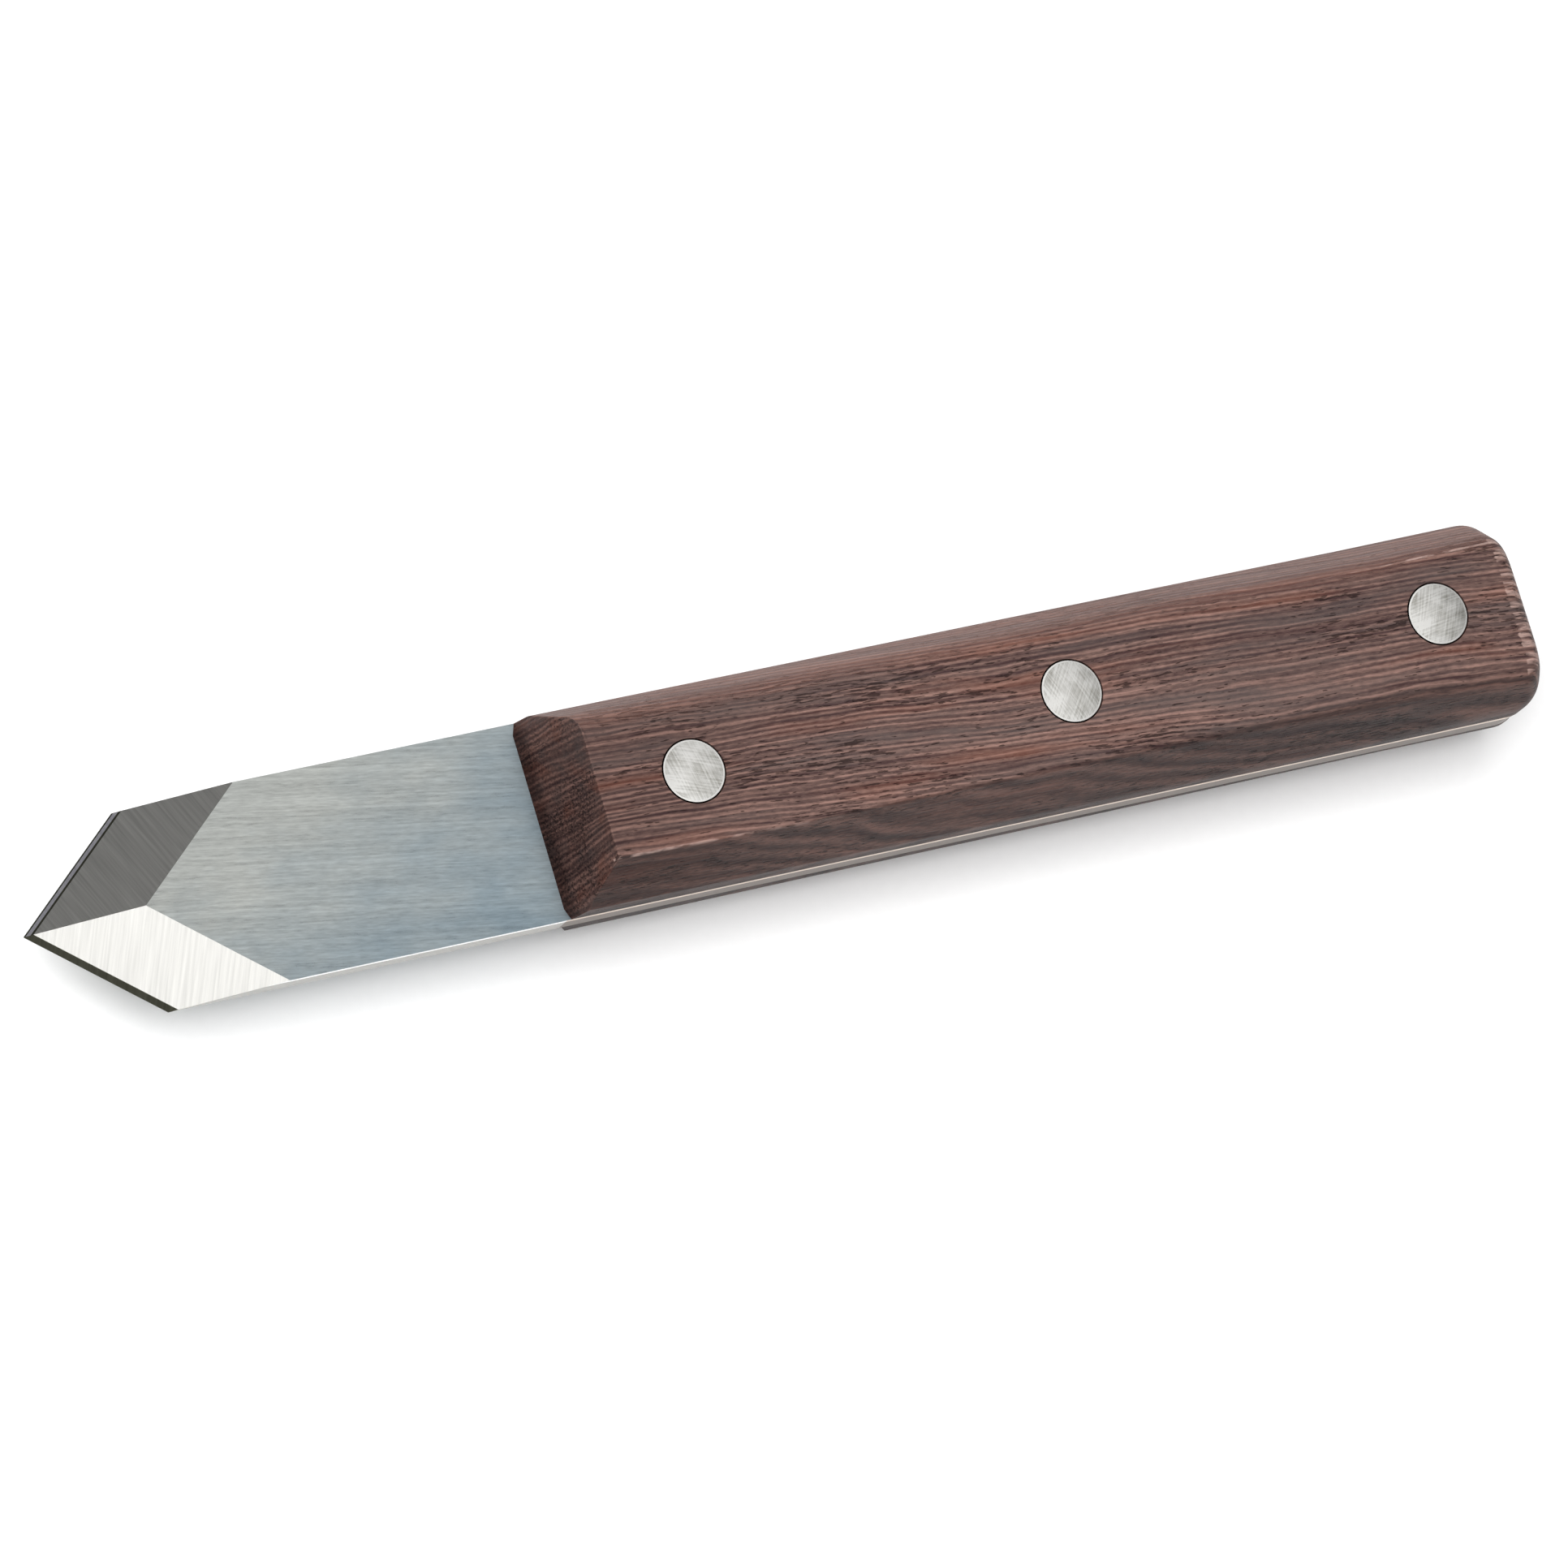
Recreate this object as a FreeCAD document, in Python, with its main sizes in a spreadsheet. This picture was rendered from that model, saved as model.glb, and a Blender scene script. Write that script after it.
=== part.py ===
import FreeCAD, Part
import os
import Sketcher

# Marking knife: a flat-backed spear-point blade with a full tang, two wooden
# scales and three two-part cutler's rivets.
#
# Shared frame (millimetres): the origin is on the plane the knife lies on,
# under the middle of its bounding box.  +X runs from the point to the butt,
# +Y across the blade, +Z up through the bevelled side of the blade.
#
# Stations along the knife are measured from the point, so a sub-part that uses
# them is placed half the overall length towards -X.

# Driving dimensions: alias, value, meaning.
DIMENSIONS = [
    ("overall_length", 178.2, "point to butt"),
    ("blade_width", 22.5, "width of blade, tang and scales"),
    ("blade_thickness", 3.0, "stock thickness of blade and tang"),
    ("point_length", 13.34, "point to each corner of the cutting edges, along X"),
    ("bevel_width", 8.5, "primary bevel, square to the cutting edge, in plan"),
    ("edge_width", 0.68, "secondary bevel, square to the cutting edge, in plan"),
    ("edge_height", 0.33, "rise of the secondary bevel"),
    ("exposed_blade", 59.0, "point to the front of the scales"),
    ("scale_thickness", 9.5, "thickness of one scale"),
    ("front_run", 4.2, "run of the sloping front face over the whole thickness"),
    ("crown_width", 14.9, "width of the flat outer face of a scale"),
    ("wall_front", 2.8, "height of the upright side wall at the front"),
    ("wall_rear", 2.0, "height of the upright side wall at the butt"),
    ("corner_back", 0.5, "front corner cut, along X"),
    ("corner_in", 1.3, "front corner cut, along Y"),
    ("butt_radius", 3.5, "rounding of the butt in plan and in section"),
    ("rivet_station", 74.3, "point to the front rivet"),
    ("rivet_pitch", 45.7, "rivet to rivet"),
    ("head_diameter", 7.0, "rivet head"),
    ("head_height", 2.2, "rivet head from its seat to its crown"),
    ("dome_height", 0.2, "rise of the domed top of a rivet head"),
    ("head_gap", 0.09, "gap all round a rivet head in its counterbore"),
    ("head_inset", 0.02, "crown of a rivet head below the face of the scale"),
    ("barrel_diameter", 5.0, "outside of the hollow rivet shank"),
    ("barrel_length", 13.5, "crown to open end of the hollow half"),
    ("barrel_gap", 0.1, "gap all round the hollow shank in its hole"),
    ("bore_start", 3.5, "crown to the blind end of the hollow half's bore"),
    ("stem_diameter", 3.2, "solid shank, pressed into the bore"),
    ("stem_clearance", 0.6, "solid shank short of the blind end of the bore"),
    ("lead_in", 0.3, "chamfer at the tip of the solid shank"),
    ("overcut", 1.0, "how far a cutting profile runs past the material"),
]

RIVETS = ["front", "middle", "rear"]
THICKNESS = "2 * Dims.scale_thickness + Dims.blade_thickness"


def make_sheet(doc):
    """Spreadsheet with one aliased row for each driving dimension."""
    sheet = doc.addObject("Spreadsheet::Sheet", "Dims")
    for row, (alias, value, meaning) in enumerate(DIMENSIONS, start=1):
        sheet.set("A%d" % row, meaning)
        sheet.set("B%d" % row, str(value))
        sheet.setAlias("B%d" % row, alias)
    doc.recompute()
    return sheet


def new_body(doc, label):
    """Empty PartDesign body whose label names the sub-part."""
    body = doc.addObject("PartDesign::Body", label)
    body.Label = label
    return body


def origin_feature(body, role):
    """Plane or axis of the body's own origin."""
    return next(item for item in body.Origin.OriginFeatures if item.Role == role)


def new_sketch(body, name, plane, offset="0", turn="0"):
    """Sketch on one of the body's origin planes.

    offset is the distance along the plane's normal, and turn the angle about
    the sketch's own vertical axis.  Both are expressions.
    """
    sketch = body.newObject("Sketcher::SketchObject", name)
    sketch.AttachmentSupport = (origin_feature(body, plane), [""])
    sketch.MapMode = "FlatFace"
    upright = FreeCAD.Vector(0, 1, 0)
    sketch.AttachmentOffset = FreeCAD.Placement(FreeCAD.Vector(), FreeCAD.Rotation(upright, 1))
    sketch.setExpression("AttachmentOffset.Base.z", offset)
    sketch.setExpression("AttachmentOffset.Rotation.Angle", turn)
    return sketch


def constrain(sketch, kind, elements, expression):
    """Dimensional constraint driven by an expression."""
    value = number(sketch, expression)
    index = sketch.addConstraint(Sketcher.Constraint(kind, *elements, value))
    sketch.setExpression("Constraints[%d]" % index, expression)


def number(sketch, expression):
    """Present value of an expression, as a plain number."""
    return float(sketch.evalExpression(expression))


def dome_arc(rim, crown):
    """Arc from the rim of a dome to its crown, square to the vertical axis there."""
    rise = crown.y - rim.y
    radius = (rim.x * rim.x + rise * rise) / (2 * rise)
    centre = FreeCAD.Vector(0, crown.y - radius, 0)
    middle = centre + ((rim + crown) * 0.5 - centre).normalize() * radius
    return Part.Arc(rim, middle, crown)


def draw_outline(sketch, corners, dome=False):
    """Closed outline through corners given as expressions.

    Its sides are straight.  With dome, the first side is an arc centred on the
    sketch's vertical axis.
    """
    places = [FreeCAD.Vector(number(sketch, x), number(sketch, y), 0) for x, y in corners]
    count = len(places)
    for index in range(count):
        side = Part.LineSegment(places[index], places[(index + 1) % count])
        if dome and index == 0:
            side = dome_arc(places[0], places[1])
        sketch.addGeometry(side, False)
    if dome:
        sketch.addConstraint(Sketcher.Constraint("PointOnObject", 0, 3, -2))
    for index in range(count):
        following = (index + 1) % count
        sketch.addConstraint(Sketcher.Constraint("Coincident", index, 2, following, 1))
    for index, (x, y) in enumerate(corners):
        constrain(sketch, "DistanceX", (-1, 1, index, 1), x)
        constrain(sketch, "DistanceY", (-1, 1, index, 1), y)


def draw_circle(sketch, station, diameter):
    """Circle on the sketch's X axis, at a station along it."""
    centre = FreeCAD.Vector(number(sketch, station), 0, 0)
    radius = number(sketch, diameter) / 2
    sketch.addGeometry(Part.Circle(centre, FreeCAD.Vector(0, 0, 1), radius), False)
    sketch.addConstraint(Sketcher.Constraint("PointOnObject", 0, 3, -1))
    constrain(sketch, "DistanceX", (-1, 1, 0, 3), station)
    constrain(sketch, "Diameter", (0,), diameter)


def cut_through(body, sketch, name):
    """Pocket that runs through the whole body on both sides of its sketch."""
    pocket = body.newObject("PartDesign::Pocket", name)
    pocket.Profile = sketch
    pocket.Type = "ThroughAll"
    pocket.SideType = "Symmetric"
    return pocket


def edges_where(shape, wanted):
    """Names of the edges whose middle passes a test."""
    names = []
    for index, edge in enumerate(shape.Edges, start=1):
        if wanted(edge.valueAt((edge.FirstParameter + edge.LastParameter) / 2)):
            names.append("Edge%d" % index)
    return names


def round_butt(body, base, name, wanted):
    """Fillet the chosen edges of the end face."""
    end = base.Shape.BoundBox.XMax
    names = edges_where(base.Shape, lambda middle: abs(middle.x - end) < 1e-6 and wanted(middle))
    fillet = body.newObject("PartDesign::Fillet", name)
    fillet.Base = (base, names)
    fillet.setExpression("Radius", "Dims.butt_radius")
    return fillet


def repeat_along_knife(body, feature, name):
    """Repeat a hole once for every rivet."""
    pattern = body.newObject("PartDesign::LinearPattern", name)
    pattern.Originals = [feature]
    pattern.Direction = (origin_feature(body, "X_Axis"), [""])
    pattern.Occurrences = len(RIVETS)
    pattern.setExpression("Length", "%d * Dims.rivet_pitch" % (len(RIVETS) - 1))
    body.Tip = pattern


def make_blade(doc):
    """Blade and full tang: one flat bar, ground to a point on its upper side."""
    body = new_body(doc, "blade")
    outline = new_sketch(body, "blade_outline", "XY_Plane")
    draw_outline(
        outline,
        [
            ("0", "0"),
            ("Dims.point_length", "-Dims.blade_width / 2"),
            ("Dims.overall_length", "-Dims.blade_width / 2"),
            ("Dims.overall_length", "Dims.blade_width / 2"),
            ("Dims.point_length", "Dims.blade_width / 2"),
        ],
    )
    bar = body.newObject("PartDesign::Pad", "bar")
    bar.Profile = outline
    bar.setExpression("Length", "Dims.blade_thickness")
    doc.recompute()
    half = bar.Shape.BoundBox.YMax
    round_butt(body, bar, "tang_corners", lambda middle: abs(abs(middle.y) - half) < 1e-6)
    doc.recompute()

    # Section of the stone's path along one cutting edge: x is measured square
    # to the edge into the blade, y up from the flat back.
    section = new_sketch(
        body,
        "bevel_section",
        "XZ_Plane",
        turn="atan(Dims.blade_width / 2 / Dims.point_length) - 90 deg",
    )
    draw_outline(
        section,
        [
            ("0", "0"),
            ("Dims.edge_width", "Dims.edge_height"),
            ("Dims.bevel_width", "Dims.blade_thickness"),
            ("Dims.bevel_width", "Dims.blade_thickness + Dims.overcut"),
            ("-Dims.overcut", "Dims.blade_thickness + Dims.overcut"),
            ("-Dims.overcut", "0"),
        ],
    )
    bevel = cut_through(body, section, "bevel")
    doc.recompute()
    mirror = body.newObject("PartDesign::Mirrored", "opposite_bevel")
    mirror.Originals = [bevel]
    mirror.MirrorPlane = (origin_feature(body, "XZ_Plane"), [""])
    body.Tip = mirror
    doc.recompute()

    circle = new_sketch(body, "rivet_circle", "XY_Plane")
    draw_circle(circle, "Dims.rivet_station", "Dims.barrel_diameter + 2 * Dims.barrel_gap")
    hole = cut_through(body, circle, "rivet_hole")
    doc.recompute()
    repeat_along_knife(body, hole, "rivet_holes")
    return body


def scale_section(body, name, station, wall):
    """Section of a scale: upright walls next to the tang, then chamfers up to the crown."""
    sketch = new_sketch(body, name, "YZ_Plane", offset=station)
    draw_outline(
        sketch,
        [
            ("-Dims.blade_width / 2", "0"),
            ("Dims.blade_width / 2", "0"),
            ("Dims.blade_width / 2", wall),
            ("Dims.crown_width / 2", "Dims.scale_thickness"),
            ("-Dims.crown_width / 2", "Dims.scale_thickness"),
            ("-Dims.blade_width / 2", wall),
        ],
    )
    return sketch


def make_scale(doc, label):
    """Wooden scale in its own frame: z = 0 is glued to the tang, +z is the outside."""
    body = new_body(doc, label)
    front = scale_section(body, label + "_front_section", "Dims.exposed_blade", "Dims.wall_front")
    rear = scale_section(body, label + "_rear_section", "Dims.overall_length", "Dims.wall_rear")
    blank = body.newObject("PartDesign::AdditiveLoft", label + "_blank")
    blank.Profile = front
    blank.Sections = [rear]
    blank.Ruled = True
    doc.recompute()

    slope = new_sketch(body, label + "_front_slope", "XZ_Plane")
    draw_outline(
        slope,
        [
            ("Dims.exposed_blade", "0"),
            ("Dims.exposed_blade + Dims.front_run", "Dims.scale_thickness"),
            ("Dims.exposed_blade + Dims.front_run", "Dims.scale_thickness + Dims.overcut"),
            ("Dims.exposed_blade - Dims.overcut", "Dims.scale_thickness + Dims.overcut"),
            ("Dims.exposed_blade - Dims.overcut", "0"),
        ],
    )
    front_face = cut_through(body, slope, label + "_front_face")
    doc.recompute()

    box = front_face.Shape.BoundBox
    names = edges_where(
        front_face.Shape,
        lambda middle: middle.x < box.XMin + 1 and abs(middle.y) > box.YMax - 1e-6 and middle.z > 1e-6,
    )
    corners = body.newObject("PartDesign::Chamfer", label + "_front_corners")
    corners.Base = (front_face, names)
    corners.ChamferType = "Two distances"
    corners.setExpression("Size", "Dims.corner_in")
    corners.setExpression("Size2", "Dims.corner_back")
    doc.recompute()
    round_butt(body, corners, label + "_butt", lambda middle: middle.z > 1e-6)
    doc.recompute()

    circle = new_sketch(body, label + "_rivet_circle", "XY_Plane", offset="Dims.scale_thickness")
    draw_circle(circle, "Dims.rivet_station", "Dims.barrel_diameter + 2 * Dims.barrel_gap")
    doc.recompute()
    hole = body.newObject("PartDesign::Hole", label + "_rivet_hole")
    hole.Profile = circle
    hole.DepthType = "ThroughAll"
    hole.HoleCutType = "Counterbore"
    hole.HoleCutCustomValues = True
    hole.setExpression("Diameter", "Dims.barrel_diameter + 2 * Dims.barrel_gap")
    hole.setExpression("HoleCutDiameter", "Dims.head_diameter + 2 * Dims.head_gap")
    hole.setExpression("HoleCutDepth", "Dims.head_inset + Dims.head_height")
    doc.recompute()
    repeat_along_knife(body, hole, label + "_rivet_holes")
    return body


def make_rivet_half(doc, label, shank):
    """Half of a rivet, turned about Z: its crown is at z = 0 and its shank runs to -z.

    shank holds the corners of the half section from the crown's axis round to
    the seat of the head.
    """
    body = new_body(doc, label)
    section = new_sketch(body, label + "_section", "XZ_Plane")
    rim = [("Dims.head_diameter / 2", "-Dims.dome_height"), ("0", "0")]
    seat = [("Dims.head_diameter / 2", "-Dims.head_height")]
    draw_outline(section, rim + shank + seat, dome=True)
    turned = body.newObject("PartDesign::Revolution", label + "_turned")
    turned.Profile = section
    turned.ReferenceAxis = (section, ["V_Axis"])
    turned.Angle = 360
    return body


def make_rivet_barrel(doc, label):
    """Hollow half of a rivet, with a blind bore up its shank."""
    return make_rivet_half(
        doc,
        label,
        [
            ("0", "-Dims.bore_start"),
            ("Dims.stem_diameter / 2", "-Dims.bore_start"),
            ("Dims.stem_diameter / 2", "-Dims.barrel_length"),
            ("Dims.barrel_diameter / 2", "-Dims.barrel_length"),
            ("Dims.barrel_diameter / 2", "-Dims.head_height"),
        ],
    )


def make_rivet_stem(doc, label):
    """Solid half of a rivet: its stem is pressed into the barrel's bore."""
    length = "(%s - 2 * Dims.head_inset - Dims.bore_start - Dims.stem_clearance)" % THICKNESS
    return make_rivet_half(
        doc,
        label,
        [
            ("0", "-" + length),
            ("Dims.stem_diameter / 2 - Dims.lead_in", "-" + length),
            ("Dims.stem_diameter / 2", "Dims.lead_in - " + length),
            ("Dims.stem_diameter / 2", "-Dims.head_height"),
        ],
    )


def place(body, x, z, upside_down=False):
    """Put a sub-part in the shared frame; x and z are expressions."""
    if upside_down:
        body.Placement = FreeCAD.Placement(
            FreeCAD.Vector(), FreeCAD.Rotation(FreeCAD.Vector(1, 0, 0), 180)
        )
    body.setExpression("Placement.Base.x", x)
    body.setExpression("Placement.Base.z", z)


def make_knife(doc):
    """Build every sub-part, place it and return the list."""
    point = "-Dims.overall_length / 2"
    blade = make_blade(doc)
    place(blade, point, "Dims.scale_thickness")
    upper = make_scale(doc, "upper_scale")
    place(upper, point, "Dims.scale_thickness + Dims.blade_thickness")
    lower = make_scale(doc, "lower_scale")
    place(lower, point, "Dims.scale_thickness", upside_down=True)
    bodies = [blade, upper, lower]
    for index, name in enumerate(RIVETS):
        x = "%s + Dims.rivet_station + %d * Dims.rivet_pitch" % (point, index)
        barrel = make_rivet_barrel(doc, name + "_rivet_barrel")
        place(barrel, x, THICKNESS + " - Dims.head_inset")
        stem = make_rivet_stem(doc, name + "_rivet_stem")
        place(stem, x, "Dims.head_inset", upside_down=True)
        bodies += [barrel, stem]
    doc.recompute()
    return bodies


def check(doc, bodies):
    """Stop if any object failed or any sub-part isn't one valid solid."""
    for item in doc.Objects:
        if "Invalid" in item.State or "Error" in item.State:
            raise RuntimeError("%s failed to compute" % item.Label)
    for body in bodies:
        shape = body.Shape
        if shape.isNull() or not shape.isValid() or len(shape.Solids) != 1:
            raise RuntimeError("%s isn't one valid solid" % body.Label)


def main():
    """Build the knife and write one STEP file for each sub-part."""
    doc = FreeCAD.newDocument("marking_knife")
    make_sheet(doc)
    bodies = make_knife(doc)
    check(doc, bodies)
    os.makedirs("parts", exist_ok=True)
    for body in bodies:
        body.Shape.exportStep("parts/%s.step" % body.Label)
        print("%-22s %9.1f mm3" % (body.Label, body.Shape.Volume))


main()
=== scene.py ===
"""Marking knife: a spear-point blade with a full tang, two wenge scales and three cutler's rivets.

The steel parts are the frame's own solids, dressed here. The two scales are worked out again as
hand-shaped surfaces, with arrises that are crisp at the front and soft at the butt.

Lengths in the classes below are millimetres. A station is a distance along the knife from its
point, and a rise is a height above the plane that the knife lies on.
"""

import logging
import math
from dataclasses import dataclass
from enum import Enum
from typing import Any, Iterable, Sequence

import bpy
import numpy as np
from mathutils import Matrix, Vector


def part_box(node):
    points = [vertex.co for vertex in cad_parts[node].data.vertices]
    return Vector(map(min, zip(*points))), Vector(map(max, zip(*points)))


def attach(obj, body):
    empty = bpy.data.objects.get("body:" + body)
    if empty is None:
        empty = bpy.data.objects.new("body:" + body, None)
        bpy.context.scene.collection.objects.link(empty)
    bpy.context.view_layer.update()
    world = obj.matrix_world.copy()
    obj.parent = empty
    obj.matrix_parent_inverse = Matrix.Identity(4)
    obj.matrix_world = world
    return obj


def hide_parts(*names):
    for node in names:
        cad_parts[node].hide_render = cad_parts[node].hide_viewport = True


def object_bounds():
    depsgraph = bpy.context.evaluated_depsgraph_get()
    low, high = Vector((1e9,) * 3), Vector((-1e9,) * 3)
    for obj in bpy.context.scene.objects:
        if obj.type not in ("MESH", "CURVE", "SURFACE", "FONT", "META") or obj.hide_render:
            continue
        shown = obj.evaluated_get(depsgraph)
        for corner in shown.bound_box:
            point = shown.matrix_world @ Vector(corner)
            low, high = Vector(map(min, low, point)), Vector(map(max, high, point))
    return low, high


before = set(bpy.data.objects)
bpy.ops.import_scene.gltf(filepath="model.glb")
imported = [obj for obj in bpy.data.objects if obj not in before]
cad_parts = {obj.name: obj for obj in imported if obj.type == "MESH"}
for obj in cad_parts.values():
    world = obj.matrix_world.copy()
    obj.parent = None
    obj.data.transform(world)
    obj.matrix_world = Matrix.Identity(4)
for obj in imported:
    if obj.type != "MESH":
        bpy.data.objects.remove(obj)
CAD_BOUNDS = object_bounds()

log = logging.getLogger("marking_knife")
MM = 0.001
BODY = "root"
SHARP_TURN = math.radians(30.0)
COLOUR_MIX = {"data_type": "RGBA", "out": 2}

Array = np.ndarray
Node = bpy.types.Node
Socket = bpy.types.NodeSocket


# --------------------------------------------------------------------------- small tools


def srgb(code: str) -> tuple[float, float, float, float]:
    """Turn a hex sRGB colour into linear values.

    Each channel c becomes c / 12.92 below 0.04045, and ((c + 0.055) / 1.055) ** 2.4 above it.

    Args:
        code: A hash and six hex digits.

    Returns:
        Linear red, green and blue, and an opacity of 1.
    """
    channels = [int(code[i : i + 2], 16) / 255 for i in (1, 3, 5)]
    linear = [c / 12.92 if c <= 0.04045 else ((c + 0.055) / 1.055) ** 2.4 for c in channels]
    return (linear[0], linear[1], linear[2], 1.0)


def add(
    tree: bpy.types.NodeTree,
    kind: str,
    links: dict | None = None,
    stops: Sequence[tuple[float, str]] = (),
    out: str | int = 0,
    **settings: Any,
) -> Socket:
    """Add one node with its settings and links.

    Args:
        tree: Node tree the node goes into.
        kind: Blender's identifier of the node type, after "ShaderNode".
        links: Input name or number to the socket that feeds it, or to a plain value.
        stops: Places and sRGB colours of a colour ramp, in order.
        out: Name or number of the output that is wanted.
        **settings: Attributes of the node itself.

    Returns:
        The wanted output, whose .node is the new node.
    """
    made = tree.nodes.new("ShaderNode" + kind)
    for name, value in settings.items():
        setattr(made, name, value)
    for name, value in (links or {}).items():
        if isinstance(value, Socket):
            tree.links.new(value, made.inputs[name])
        else:
            made.inputs[name].default_value = value
    for number, (place, code) in enumerate(stops):
        elements = made.color_ramp.elements
        stop = elements[number] if number < len(elements) else elements.new(place)
        stop.position, stop.color = place, srgb(code)
    return made.outputs[out] if len(made.outputs) else made.inputs[0]


@dataclass(frozen=True)
class Finish:
    """A finish: it makes one material, whose surface shader is a Principled BSDF."""

    name: str = "finish"

    def material(self) -> bpy.types.Material:
        """Make the material.

        Returns:
            A new material with this finish.
        """
        made = bpy.data.materials.new(self.name)
        made.use_nodes = True
        tree = made.node_tree
        tree.nodes.clear()
        surface = add(tree, "BsdfPrincipled")
        add(tree, "OutputMaterial", {"Surface": surface})
        self.dress(tree, surface.node)
        return made

    def dress(self, tree: bpy.types.NodeTree, shader: Node) -> None:
        """Drive the shader's sockets; each finish has its own way."""
        raise NotImplementedError

    def position(self, tree: bpy.types.NodeTree, turn: Sequence[float] = (0, 0, 0)) -> Socket:
        """Position in the knife's frame in millimetres, turned by some degrees about X, Y and Z.

        Args:
            tree: Node tree.
            turn: Angles in degrees.

        Returns:
            The vector socket.
        """
        links = {
            "Vector": add(tree, "TexCoord", out="Object"),
            "Rotation": tuple(math.radians(angle) for angle in turn),
            "Scale": (1 / MM,) * 3,
        }
        return add(tree, "Mapping", links)

    def facing(self, tree: bpy.types.NodeTree) -> Sequence[Socket]:
        """The three parts of the face's normal."""
        normal = add(tree, "NewGeometry", out="True Normal")
        return add(tree, "SeparateXYZ", {0: normal}).node.outputs

    def figure(
        self, tree: bpy.types.NodeTree, place: Socket, cycles: Sequence[float], detail: float = 2.0
    ) -> Socket:
        """Noise about 0.5, drawn out along the directions that have the fewest cycles.

        Args:
            tree: Node tree.
            place: Position in millimetres.
            cycles: Cycles per millimetre along each direction.
            detail: Number of finer layers.

        Returns:
            The factor socket.
        """
        drawn = add(tree, "Mapping", {"Vector": place, "Scale": tuple(cycles)})
        return add(tree, "TexNoise", {"Vector": drawn, "Scale": 1.0, "Detail": detail})

    def relief(self, tree: bpy.types.NodeTree, shader: Node, height: Socket, depth: float) -> None:
        """Raise the surface by a pattern.

        Args:
            tree: Node tree.
            shader: Shader whose normal is driven.
            height: The pattern.
            depth: Its full height in millimetres.
        """
        links = {"Height": height, "Strength": 1.0, "Distance": depth * MM}
        tree.links.new(add(tree, "Bump", links), shader.inputs["Normal"])


# --------------------------------------------------------------------------- finishes


@dataclass(frozen=True)
class ArrisHighlight:
    """A painted highlight, a pale line along an arris: where it runs, and between which distances it
    fades in.
    """

    lean: float
    offset: float
    faint: float
    full: float
    amount: float


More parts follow.
